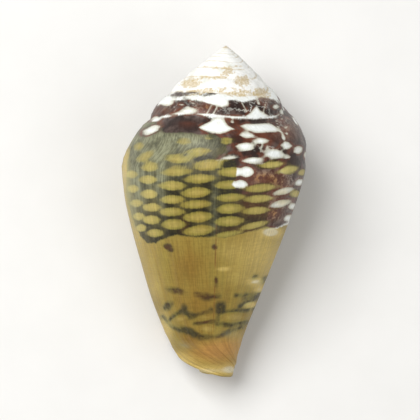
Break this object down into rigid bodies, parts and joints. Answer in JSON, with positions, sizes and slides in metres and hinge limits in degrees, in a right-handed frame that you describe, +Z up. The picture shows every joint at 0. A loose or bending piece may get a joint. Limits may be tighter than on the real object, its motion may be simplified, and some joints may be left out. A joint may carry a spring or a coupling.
{
  "type": "cone shell",
  "caption": "Cone-shaped sea snail shell with a low stepped spire, a rounded shoulder, a tapering body and a narrow slit opening, lying on its opening side.",
  "frame": {"origin": "middle of the box that holds the shell, at the floor it lies on", "axes": "+Y along the shell towards the tip of the spire, +Z up from the opening side to the back, +X to the right of a viewer who looks down with the spire away from them"},
  "size_m": [0.022, 0.0396, 0.0196],
  "materials": {
    "shell": "satin"
  },
  "bodies": {
    "root": {"shell": "shell"}
  },
  "joints": []
}
